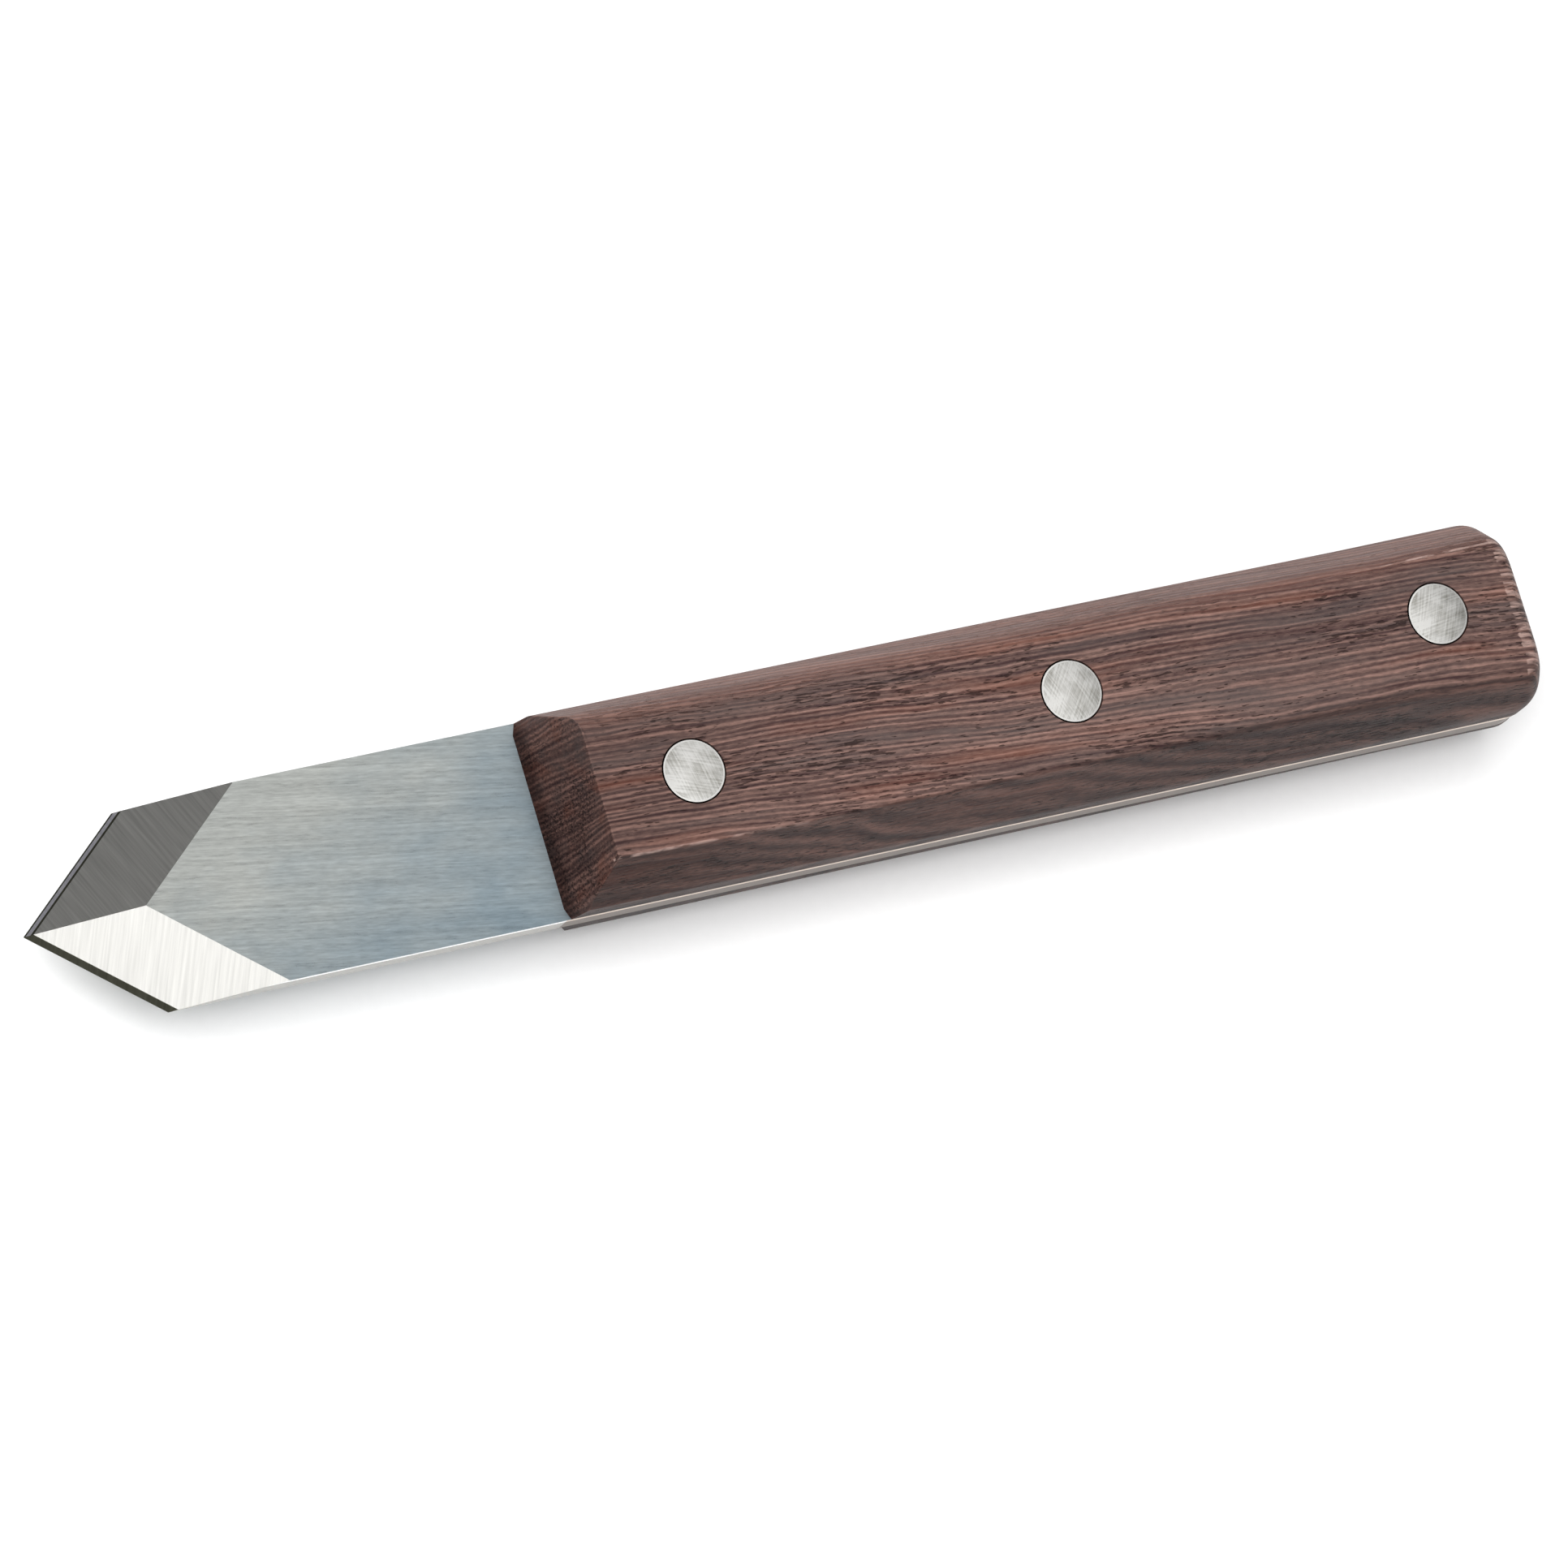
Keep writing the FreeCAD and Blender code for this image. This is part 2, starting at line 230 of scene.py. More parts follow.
@dataclass(frozen=True)
class OiledWenge(Finish):
    """Wenge, planed, sanded and oiled: dark fibres, thin paler bands and open pores.

    The growth sheets stand nearly upright, so the outer faces show fine straight lines, the
    chamfers a broader figure, and the end grain a fine hatch that runs up the slope. The near
    chamfers and the wood beside the tang are painted darker, as painted shade, the far chamfers
    lighter and redder, as a painted sheen, and pale lines and ticks at some arrises are painted
    highlights. Oil leaves a low satin sheen.
    """

    name: str = "wenge_oiled"
    front_x: float = 0.0
    seam_rise: float = 0.0
    turn: tuple[float, float, float] = (6.0, 0.0, 3.0)
    spacing: float = 0.62
    sway: float = 5.0
    ripple: float = 0.7
    relief_depth: float = 0.07
    dark: str = "#3B2A2A"
    middle: str = "#5C4843"
    pale: str = "#8A6C63"
    russet: str = "#74422F"
    ash: str = "#4A4342"
    pore: str = "#1B100F"
    # Multiplied in for oil soak and for painted shade.
    soak_and_shade: str = "#8E8080"
    # Painted highlight colour for the pale arris lines and butt ticks.
    wear_and_highlight: str = "#B0958C"
    # Painted sheen colour of the far chamfers.
    painted_sheen: str = "#7E5346"
    arris_highlights: tuple[ArrisHighlight, ...] = (
        ArrisHighlight(lean=0.022, offset=7.52, faint=34.0, full=4.0, amount=0.8),
        ArrisHighlight(lean=0.0, offset=-6.85, faint=90.0, full=106.0, amount=0.7),
    )

    def dress(self, tree: bpy.types.NodeTree, shader: Node) -> None:
        """Build the figure, the pores, the oiling and painted shade, the painted sheen and highlights,
        the satin sheen and the relief.

        Args:
            tree: Node tree.
            shader: The Principled BSDF.
        """
        bent = self.grain(tree)
        fibre = self.figure(tree, bent, (0.16, 6.5, 3.5), 3.0)
        tone = self.bands(tree, bent, fibre)
        pore = self.pores(tree, bent)
        colour = self.tint(tree, bent, tone)
        amount = add(tree, "Math", {0: pore, 1: 0.7}, operation="MULTIPLY")
        colour = add(tree, "Mix", {0: amount, 6: colour, 7: srgb(self.pore)}, **COLOUR_MIX)

        facing = self.facing(tree)
        x, y, z = add(tree, "SeparateXYZ", {0: self.position(tree)}).node.outputs
        behind = add(tree, "Math", {0: x, 1: self.front_x}, operation="SUBTRACT")
        rise = add(tree, "Math", {0: z, 1: self.seam_rise}, operation="SUBTRACT")
        rise = add(tree, "Math", {0: rise}, operation="ABSOLUTE")
        colour = self.oil_and_painted_shade(tree, colour, facing, behind, rise)
        colour = self.painted_arris_highlights(tree, colour, bent, y, behind, rise)
        tree.links.new(colour, shader.inputs["Base Color"])

        gloss = add(tree, "Math", {0: fibre, 1: 0.3, 2: 0.36}, operation="MULTIPLY_ADD")
        tree.links.new(gloss, shader.inputs["Roughness"])
        shader.inputs["IOR"].default_value = 1.5
        shader.inputs["Specular IOR Level"].default_value = 0.16
        height = add(tree, "Math", {0: pore, 1: -1.2, 2: tone}, operation="MULTIPLY_ADD")
        self.relief(tree, shader, height, self.relief_depth)

    def grain(self, tree: bpy.types.NodeTree) -> Socket:
        """Position in the log, whose sheets wander by a millimetre or so, and ripple a little.

        Args:
            tree: Node tree.

        Returns:
            The vector socket.
        """
        grain = self.position(tree, self.turn)
        sway = self.figure(tree, grain, (0.016, 0.05, 0.03), 1.0)
        ripple = self.figure(tree, grain, (0.1, 0.3, 0.2), 2.0)
        links = {0: ripple, 1: self.ripple, 2: -self.ripple / 2}
        shift = add(tree, "Math", links, operation="MULTIPLY_ADD")
        shift = add(tree, "Math", {0: sway, 1: self.sway, 2: shift}, operation="MULTIPLY_ADD")
        shove = add(tree, "CombineXYZ", {"Y": shift})
        return add(tree, "VectorMath", {0: grain, 1: shove}, operation="ADD")

    def bands(self, tree: bpy.types.NodeTree, bent: Socket, fibre: Socket) -> Socket:
        """Light and dark of the figure, from 0 to 1.

        Paler bands lie one spacing apart, and fibres are drawn 0.15 mm apart, twice as coarse
        as the real ones. Each layer is added to the bands by its share.

        Args:
            tree: Node tree.
            bent: Position in the log.
            fibre: The fibres' noise.

        Returns:
            The tone.
        """
        depth = add(tree, "SeparateXYZ", {0: bent}, out=1)
        lag = self.figure(tree, bent, (0.02, 0.35, 0.1), 2.0)
        lag = add(tree, "Math", {0: lag, 1: 9.0}, operation="MULTIPLY")
        links = {0: depth, 1: math.tau / self.spacing, 2: lag}
        phase = add(tree, "Math", links, operation="MULTIPLY_ADD")
        wave = add(tree, "Math", {0: phase}, operation="SINE")
        wave = add(tree, "Math", {0: wave, 1: 0.5, 2: 0.5}, operation="MULTIPLY_ADD")
        tone = self.figure(tree, bent, (0.012, 1.6, 0.05), 2.0)
        fleck = self.figure(tree, bent, (1.1, 4.2, 4.2), 2.0)
        broad = self.figure(tree, bent, (0.02, 0.16, 0.1), 2.0)
        for layer, share in ((wave, 0.18), (fibre, 0.44), (fleck, 0.3), (broad, 0.22)):
            links = {0: share, 6: tone, 7: layer}
            tone = add(tree, "Mix", links, blend_type="LINEAR_LIGHT", **COLOUR_MIX)
        return tone

    def tint(self, tree: bpy.types.NodeTree, bent: Socket, tone: Socket) -> Socket:
        """Colour the tone; patches a few millimetres wide lean towards russet or towards ash.

        Args:
            tree: Node tree.
            bent: Position in the log.
            tone: Light and dark of the figure.

        Returns:
            The colour.
        """
        stops = [(0.14, self.dark), (0.5, self.middle), (0.94, self.pale)]
        colour = add(tree, "ValToRGB", {"Fac": tone}, stops)
        patch = self.figure(tree, bent, (0.035, 0.35, 0.35), 3.0)
        for low, high, tint, share in ((0.54, 0.72, self.russet, 0.38), (0.48, 0.32, self.ash, 0.6)):
            reach = {"Value": patch, "From Min": low, "From Max": high, "To Max": share}
            amount = add(tree, "MapRange", reach)
            colour = add(tree, "Mix", {0: amount, 6: colour, 7: srgb(tint)}, **COLOUR_MIX)
        return colour

    def pores(self, tree: bpy.types.NodeTree, bent: Socket) -> Socket:
        """Pores: short ragged channels along the grain, in loose clusters.

        They are about 0.2 mm wide and 1.5 mm long, a little larger than the real ones.

        Args:
            tree: Node tree.
            bent: Position in the log.

        Returns:
            1 in a pore and 0 outside it.
        """
        cluster = self.figure(tree, bent, (0.05, 0.22, 0.22), 1.0)
        channel = self.figure(tree, bent, (0.6, 4.6, 4.6), 2.0)
        channel = add(tree, "Math", {0: cluster, 1: 0.45, 2: channel}, operation="MULTIPLY_ADD")
        reach = {"Value": channel, "From Min": 0.84, "From Max": 0.91}
        return add(tree, "MapRange", reach, interpolation_type="SMOOTHSTEP")

    def oil_and_painted_shade(
        self,
        tree: bpy.types.NodeTree,
        colour: Socket,
        facing: Sequence[Socket],
        behind: Socket,
        rise: Socket,
    ) -> Socket:
        """Darken the wood where it has drunk oil, paint shade on it, and paint a sheen on the far
        chamfers.

        End grain drinks the most. The near-facing faces and the wood beside the tang are painted
        darker, as painted shade. The heartwood is darker towards the front. The far-facing
        chamfers are painted lighter and redder, as a painted sheen.

        Args:
            tree: Node tree.
            colour: Colour of the dry wood.
            facing: The face's normal.
            behind: Distance behind the foot of the front face.
            rise: Distance from the middle of the tang, up or down.

        Returns:
            The colour.
        """
        for value, low, high, share in (
            (facing[0], -0.6, -0.9, 0.5),
            # Painted shade: near-facing faces are darkened.
            (facing[1], -0.4, -0.8, 0.62),
            (behind, 38.0, 0.0, 0.34),
            # Painted shade: the wood beside the tang is darkened.
            (rise, 3.8, 2.3, 0.57),
        ):
            reach = {"Value": value, "From Min": low, "From Max": high, "To Max": share}
            darkening = add(tree, "MapRange", reach, interpolation_type="SMOOTHSTEP")
            links = {0: darkening, 6: colour, 7: srgb(self.soak_and_shade)}
            colour = add(tree, "Mix", links, blend_type="MULTIPLY", **COLOUR_MIX)
        # Painted sheen: far-facing chamfers are mixed towards a lighter, redder colour.
        reach = {"Value": facing[1], "From Min": 0.2, "From Max": 0.7, "To Max": 0.26}
        far_sheen = add(tree, "MapRange", reach, interpolation_type="SMOOTHSTEP")
        return add(tree, "Mix", {0: far_sheen, 6: colour, 7: srgb(self.painted_sheen)}, **COLOUR_MIX)

    def painted_arris_highlights(
        self,
        tree: bpy.types.NodeTree,
        colour: Socket,
        bent: Socket,
        y: Socket,
        behind: Socket,
        rise: Socket,
    ) -> Socket:
        """Paint highlights: pale lines along the arrises, and pale ticks where the crown meets the butt.

        Args:
            tree: Node tree.
            colour: Colour before wear.
            bent: Position in the log.
            y: Place across the knife.
            behind: Distance behind the foot of the front face.
            rise: Distance from the middle of the tang, up or down.

        Returns:
            The colour.
        """
        broken = self.figure(tree, bent, (0.5, 1.5, 1.5), 3.0)
        # Painted highlight: a pale line along an arris.
        for mark in self.arris_highlights:
            line = add(tree, "Math", {0: behind, 1: mark.lean, 2: y}, operation="MULTIPLY_ADD")
            line = add(tree, "Math", {0: line, 1: mark.offset}, operation="ADD")
            line = add(tree, "Math", {0: line}, operation="ABSOLUTE")
            line_highlight = add(tree, "Math", {0: rise, 1: 9.9}, operation="GREATER_THAN")
            line_highlight = add(tree, "Math", {0: line_highlight, 1: mark.amount}, operation="MULTIPLY")
            for value, low, high in (
                (line, 0.18, 0.07),
                (behind, mark.faint, mark.full),
                (broken, 0.38, 0.56),
            ):
                share = add(tree, "MapRange", {"Value": value, "From Min": low, "From Max": high})
                line_highlight = add(tree, "Math", {0: line_highlight, 1: share}, operation="MULTIPLY")
            colour = add(tree, "Mix", {0: line_highlight, 6: colour, 7: srgb(self.wear_and_highlight)}, **COLOUR_MIX)

        # Painted highlight: pale ticks where the crown meets the butt's rounding.
        end_grain_glints = self.figure(tree, bent, (0.3, 2.6, 0.3), 1.0)
        for value, low, high in ((behind, 114.9, 115.7), (rise, 8.9, 9.9)):
            share = add(tree, "MapRange", {"Value": value, "From Min": low, "From Max": high})
            end_grain_glints = add(tree, "Math", {0: end_grain_glints, 1: share}, operation="MULTIPLY")
        reach = {"Value": end_grain_glints, "From Min": 0.47, "From Max": 0.6, "To Max": 0.6}
        end_grain_glints = add(tree, "MapRange", reach)
        return add(tree, "Mix", {0: end_grain_glints, 6: colour, 7: srgb(self.wear_and_highlight)}, **COLOUR_MIX)


@dataclass(frozen=True)
class GroundSteel(Finish):
    """Hardened tool steel: the flats brushed along the blade, the bevels ground across it.

    The wide face shows fine scratches and a painted reflection that turns from warm grey to a
    blue-grey cast towards the handle, the primary bevels short straight grinding lines, the
    secondary bevels a honed band painted dark as a painted reflection, with a painted highlight
    strip on the far edge, and the sides a duller sawn finish under a painted highlight strip
    along the upper arris. The near side of the tang is painted darker, as painted shade.
    """

    name: str = "tool_steel_ground"
    point_x: float = 0.0
    half_width: float = 0.0
    top_rise: float = 0.0
    exposed: float = 0.0
    edge_run: float = 13.34
    hone_width: float = 0.68
    strip_middle: float = 0.32
    strip_half: float = 0.17
    arris: float = 0.6
    brush_angle: float = 9.0
    grind_angle: float = -22.0
    relief_depth: float = 0.006
    # Painted reflection colours of the flats: warm near the point, cool by the handle.
    reflection_warm: str = "#C1C4C0"
    reflection_cool: str = "#94A4AD"
    ground: str = "#D6D5D1"
    # Painted reflection: the dark honed band; painted highlight: the bright far strip.
    honed_dark_reflection: str = "#5E5E52"
    honed_far_highlight: str = "#F2F0FA"
    side_blade: str = "#A3A19C"
    side_tang: str = "#8D867E"
    # Painted shade on the tang's near side, then the painted highlight colours of the arris strip.
    side_near_shade: str = "#544334"
    highlight_blade: str = "#FFFFFF"
    highlight_tang: str = "#B4ADA4"
    highlight_near: str = "#DAC6B6"

    def dress(self, tree: bpy.types.NodeTree, shader: Node) -> None:
        """Build the brushing, the grinding lines and the tints of each face.

        Args:
            tree: Node tree.
            shader: The Principled BSDF.
        """
        x, y, z = add(tree, "SeparateXYZ", {0: self.position(tree)}).node.outputs
        station = add(tree, "Math", {0: x, 1: self.point_x}, operation="SUBTRACT")
        along, inward = self.edge_place(tree, station, y)
        facing = self.facing(tree)
        bevel = add(tree, "Math", {0: facing[2], 1: 0.74, 2: 0.245}, operation="COMPARE")
        side = add(tree, "Math", {0: facing[2], 1: 0.0, 2: 0.3}, operation="COMPARE")

        streak = self.scratches(tree, along, inward, bevel)
        colour = self.painted_reflection_cast(tree, station, y)
        colour = self.hone_with_painted_reflections(tree, colour, inward, bevel, y)
        edge = self.sides(tree, station, z, facing[1])
        colour = add(tree, "Mix", {0: side, 6: colour, 7: edge}, **COLOUR_MIX)
        links = {"Value": streak, "From Min": 0.25, "From Max": 0.75, "To Min": 0.62, "To Max": 1.38}
        shade = add(tree, "MapRange", links)
        links = {0: 1.0, 6: colour, 7: shade}
        colour = add(tree, "Mix", links, blend_type="MULTIPLY", **COLOUR_MIX)
        tree.links.new(colour, shader.inputs["Base Color"])
        shader.inputs["Metallic"].default_value = 1.0
        rough = add(tree, "Math", {0: streak, 1: 0.2, 2: 0.2}, operation="MULTIPLY_ADD")
        tree.links.new(rough, shader.inputs["Roughness"])
        self.relief(tree, shader, streak, self.relief_depth)

    def edge_place(
        self, tree: bpy.types.NodeTree, station: Socket, y: Socket
    ) -> tuple[Socket, Socket]:
        """Place along the nearer cutting edge, and distance inwards from it.

        With the edge's slope s, they are station cos s + |y| sin s and station sin s - |y| cos s.

        Args:
            tree: Node tree.
            station: Distance from the point.
            y: Place across the blade.

        Returns:
            The two distances.
        """
        across = add(tree, "Math", {0: y}, operation="ABSOLUTE")
        slope = math.atan2(self.half_width, self.edge_run)
        inward = add(tree, "Math", {0: station, 1: math.sin(slope)}, operation="MULTIPLY")
        links = {0: across, 1: -math.cos(slope), 2: inward}
        inward = add(tree, "Math", links, operation="MULTIPLY_ADD")
        along = add(tree, "Math", {0: station, 1: math.cos(slope)}, operation="MULTIPLY")
        links = {0: across, 1: math.sin(slope), 2: along}
        return add(tree, "Math", links, operation="MULTIPLY_ADD"), inward

    def scratches(
        self, tree: bpy.types.NodeTree, along: Socket, inward: Socket, bevel: Socket
    ) -> Socket:
        """Scratches of the flats and of the bevels, drawn coarser than the grit leaves them.

        They lie 0.2 to 0.4 mm apart.

        Args:
            tree: Node tree.
            along: Place along the cutting edge.
            inward: Distance from the cutting edge.
            bevel: 1 on the bevels.

        Returns:
            The scratches, from 0 to 1.
        """
        brushing = self.position(tree, (0.0, 0.0, self.brush_angle))
        long = self.figure(tree, brushing, (0.05, 3.0, 3.0), 4.0)
        short = self.figure(tree, brushing, (0.8, 5.0, 5.0), 3.0)
        flat = add(tree, "Mix", {0: 0.5, 6: long, 7: short}, **COLOUR_MIX)
        lines = add(tree, "CombineXYZ", {"X": along, "Y": inward})
        links = {"Vector": lines, "Rotation": (0.0, 0.0, math.radians(self.grind_angle))}
        lines = add(tree, "Mapping", links)
        grinding = self.figure(tree, lines, (3.2, 0.12, 1.0), 4.0)
        links = {0: grinding, 1: 0.45, 2: 0.275}
        grinding = add(tree, "Math", links, operation="MULTIPLY_ADD")
        return add(tree, "Mix", {0: bevel, 6: flat, 7: grinding}, **COLOUR_MIX)

    def painted_reflection_cast(self, tree: bpy.types.NodeTree, station: Socket, y: Socket) -> Socket:
        """Colour of the flats, a painted reflection: warm near the point, cool by the handle's near
        side.

        Args:
            tree: Node tree.
            station: Distance from the point.
            y: Place across the blade.

        Returns:
            The colour.
        """
        cloud = self.figure(tree, self.position(tree), (0.12, 0.2, 0.2), 3.0)
        links = {"Value": station, "From Min": 34.0, "From Max": 60.0, "To Min": -0.05, "To Max": -0.012}
        lean = add(tree, "MapRange", links)
        toward = add(tree, "Math", {0: y, 1: lean, 2: cloud}, operation="MULTIPLY_ADD")
        toward = add(tree, "Math", {0: station, 1: 0.02, 2: toward}, operation="MULTIPLY_ADD")
        # Painted reflection: the flats' colour is mixed from warm to cool grey by position.
        share = add(tree, "MapRange", {"Value": toward, "From Min": 0.85, "From Max": 1.95})
        return add(tree, "Mix", {0: share, 6: srgb(self.reflection_warm), 7: srgb(self.reflection_cool)}, **COLOUR_MIX)

    def hone_with_painted_reflections(
        self, tree: bpy.types.NodeTree, colour: Socket, inward: Socket, bevel: Socket, y: Socket
    ) -> Socket:
        """Tint the bevels: ground metal, a honed band painted dark as painted reflection, a painted
        highlight strip on the far edge.

        Args:
            tree: Node tree.
            colour: Colour of the flats.
            inward: Distance from the cutting edge.
            bevel: 1 on the bevels.
            y: Place across the blade.

        Returns:
            The colour.
        """
        links = {0: inward, 1: self.hone_width + 0.02}
        band = add(tree, "Math", links, operation="LESS_THAN")
        band = add(tree, "Math", {0: band, 1: bevel}, operation="MULTIPLY")
        far = add(tree, "Math", {0: y, 1: 0.0}, operation="GREATER_THAN")
        links = {0: inward, 1: self.strip_middle, 2: self.strip_half}
        far_highlight_strip = add(tree, "Math", links, operation="COMPARE")
        for mask in (far, bevel):
            far_highlight_strip = add(tree, "Math", {0: far_highlight_strip, 1: mask}, operation="MULTIPLY")
        # Painted reflection: the honed band is dark; painted highlight: the far strip is bright.
        for share, code in ((bevel, self.ground), (band, self.honed_dark_reflection), (far_highlight_strip, self.honed_far_highlight)):
            colour = add(tree, "Mix", {0: share, 6: colour, 7: srgb(code)}, **COLOUR_MIX)
        return colour

    def sides(
        self, tree: bpy.types.NodeTree, station: Socket, z: Socket, facing_y: Socket
    ) -> Socket:
        """Colour of the sides: duller along the tang, painted shade on its near side, a painted
        highlight under the top arris.

        Args:
            tree: Node tree.
            station: Distance from the point.
            z: Height.
            facing_y: The normal's part across the blade.

        Returns:
            The colour.
        """
        covered = add(tree, "Math", {0: station, 1: self.exposed}, operation="GREATER_THAN")
        near = add(tree, "MapRange", {"Value": facing_y, "From Min": -0.3, "From Max": -0.9})
        shades = []
        for bare, held, shaded in (
            (self.side_blade, self.side_tang, self.side_near_shade),
            (self.highlight_blade, self.highlight_tang, self.highlight_near),
        ):
            # Painted shade: the tang's near-facing side is mixed towards a darker colour.
            tang = add(tree, "Mix", {0: near, 6: srgb(held), 7: srgb(shaded)}, **COLOUR_MIX)
            shades.append(add(tree, "Mix", {0: covered, 6: srgb(bare), 7: tang}, **COLOUR_MIX))
        # Painted highlight: a bright strip under the top arris.
        highlight_band = add(tree, "Math", {0: z, 1: self.top_rise - self.arris}, operation="GREATER_THAN")
        return add(tree, "Mix", {0: highlight_band, 6: shades[0], 7: shades[1]}, **COLOUR_MIX)


@dataclass(frozen=True)
class SatinRivet(Finish):
    """Nickel silver rivet head, mopped and handled: faint rings, mottling and crossing hairs."""

    name: str = "rivet_nickel_silver"
    centre_x: float = 0.0
    turn: float = 0.0
    rim_radius: float = 3.32
    hair_angle: float = 58.0
    relief_depth: float = 0.01
    # Painted shade colour of the head's flank.
    flank_shade: str = "#2E2823"
    body: str = "#FFFEFA"
    wear_and_highlight: str = "#B6B4AD"

    def dress(self, tree: bpy.types.NodeTree, shader: Node) -> None:
        """Build the tints and the satin gloss: a painted highlight on the rim, and painted shade down
        the flank.

        Args:
            tree: Node tree.
            shader: The Principled BSDF.
        """
        place = self.position(tree)
        local = add(tree, "Mapping", {"Vector": place, "Location": (-self.centre_x, 0.0, 0.0)})
        level = add(tree, "Mapping", {"Vector": local, "Scale": (1.0, 1.0, 0.0)})
        radius = add(tree, "VectorMath", {0: level}, out=1, operation="LENGTH")
        tone = self.polish(tree, local, radius)
        colour = add(tree, "ValToRGB", {"Fac": tone}, [(0.28, self.wear_and_highlight), (0.66, self.body)])
        # Painted highlight: the rim is given the brightest colour.
        painted_rim_highlight = add(tree, "Math", {0: radius, 1: self.rim_radius}, operation="GREATER_THAN")
        # Painted shade: the flank of the head is dark.
        flank = {0: self.facing(tree)[2], 1: 0.0, 2: 0.5}
        flank = add(tree, "Math", flank, operation="COMPARE")
        for share, code in ((painted_rim_highlight, self.body), (flank, self.flank_shade)):
            colour = add(tree, "Mix", {0: share, 6: colour, 7: srgb(code)}, **COLOUR_MIX)
        tree.links.new(colour, shader.inputs["Base Color"])
        shader.inputs["Metallic"].default_value = 1.0
        rough = add(tree, "Math", {0: tone, 1: 0.2, 2: 0.22}, operation="MULTIPLY_ADD")
        tree.links.new(rough, shader.inputs["Roughness"])
        self.relief(tree, shader, tone, self.relief_depth)

    def polish(self, tree: bpy.types.NodeTree, local: Socket, radius: Socket) -> Socket:
        """Mottling, rings about the axis and two sets of hairs that cross.

        The hairs lie about 0.2 mm apart, much coarser than a polishing mop leaves them.

        Args:
            tree: Node tree.
            local: Position from the rivet's axis.
            radius: Distance from the axis.

        Returns:
            The tone, from 0 to 1.
        """
        spread = add(tree, "CombineXYZ", {"X": radius})
        layers = [(self.figure(tree, spread, (3.0, 1.0, 1.0)), 0.1)]
        for angle in (self.turn, self.turn + self.hair_angle):
            links = {"Vector": local, "Rotation": (0.0, 0.0, math.radians(angle))}
            spun = add(tree, "Mapping", links)
            layers.append((self.figure(tree, spun, (0.3, 5.5, 1.0), 4.0), 0.28))
        tone = self.figure(tree, local, (0.35, 0.35, 0.35), 5.0)
        for layer, share in layers:
            links = {0: share, 6: tone, 7: layer}
            tone = add(tree, "Mix", links, blend_type="LINEAR_LIGHT", **COLOUR_MIX)
        return tone


@dataclass(frozen=True)
class MattePaper(Finish):
    """Seamless studio paper: nearly white and matte, with a trace of tooth."""

    name: str = "studio_paper"
    sheet: str = "#F6F6F6"
    tooth: str = "#F2F2F2"

    def dress(self, tree: bpy.types.NodeTree, shader: Node) -> None:
        """Build the faint tooth of the paper, drawn over a millimetre wide so that it shows.

        Args:
            tree: Node tree.
            shader: The Principled BSDF.
        """
        speck = self.figure(tree, self.position(tree), (0.8, 0.8, 0.8), 3.0)
        links = {0: speck, 6: srgb(self.sheet), 7: srgb(self.tooth)}
        colour = add(tree, "Mix", links, **COLOUR_MIX)
        tree.links.new(colour, shader.inputs["Base Color"])
        shader.inputs["Roughness"].default_value = 0.9
        shader.inputs["Specular IOR Level"].default_value = 0.1


# --------------------------------------------------------------------------- meshes


def mesh_object(name: str, points: Array, faces: list[list[int]]) -> bpy.types.Object:
    """Put points and faces into a new object, smooth apart from its sharp edges.

    Args:
        name: Name of the object and its mesh.
        points: Corners in millimetres, one row each.
        faces: Corner numbers of each face.

    Returns:
        The object, at the origin.
    """
    mesh = bpy.data.meshes.new(name)
    mesh.from_pydata(np.asarray(points) * MM, [], faces)
    mesh.validate()
    mesh.shade_smooth()
    mesh.set_sharp_from_angle(angle=SHARP_TURN)
    made = bpy.data.objects.new(name, mesh)
    bpy.context.scene.collection.objects.link(made)
    return made


def tube_faces(rings: int, corners: int) -> list[list[int]]:
    """Faces of a closed tube of rings, with both ends closed by one face each.

    Args:
        rings: Number of rings.
        corners: Number of points in each ring.

    Returns:
        Corner numbers of each face.
    """
    ring, corner = np.meshgrid(np.arange(rings - 1), np.arange(corners), indexing="ij")
    following = (corner + 1) % corners
    quads = np.stack(
        [
            ring * corners + corner,
            ring * corners + following,
            (ring + 1) * corners + following,
            (ring + 1) * corners + corner,
        ],
        axis=-1,
    ).reshape(-1, 4)
    first = np.arange(corners)[::-1]
    last = (rings - 1) * corners + np.arange(corners)
    return quads.tolist() + [first.tolist(), last.tolist()]


def cut_away(target: bpy.types.Object, cutters: Iterable[bpy.types.Object]) -> None:
    """Subtract each cutter from the target's mesh, and remove the cutters.

    Args:
        target: Object whose mesh is replaced.
        cutters: Closed meshes.
    """
    cutters = list(cutters)
    for cutter in cutters:
        step = target.modifiers.new(cutter.name, "BOOLEAN")
        step.operation = "DIFFERENCE"
        step.solver = "EXACT"
        step.object = cutter
    graph = bpy.context.evaluated_depsgraph_get()
    done = bpy.data.meshes.new_from_object(target.evaluated_get(graph))
    target.modifiers.clear()
    old, target.data = target.data, done
    bpy.data.meshes.remove(old)
    for cutter in cutters:
        mesh = cutter.data
        bpy.data.objects.remove(cutter)
        bpy.data.meshes.remove(mesh)


def place_lengths(node: str) -> tuple[Array, Array]:
    """Lowest and highest corner of a frame node, in millimetres."""
    low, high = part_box(node)
    return np.array(low) / MM, np.array(high) / MM


# --------------------------------------------------------------------------- the handle


class Side(Enum):
    """Which face of the tang a scale is fixed to."""

    UPPER = 1
    LOWER = -1


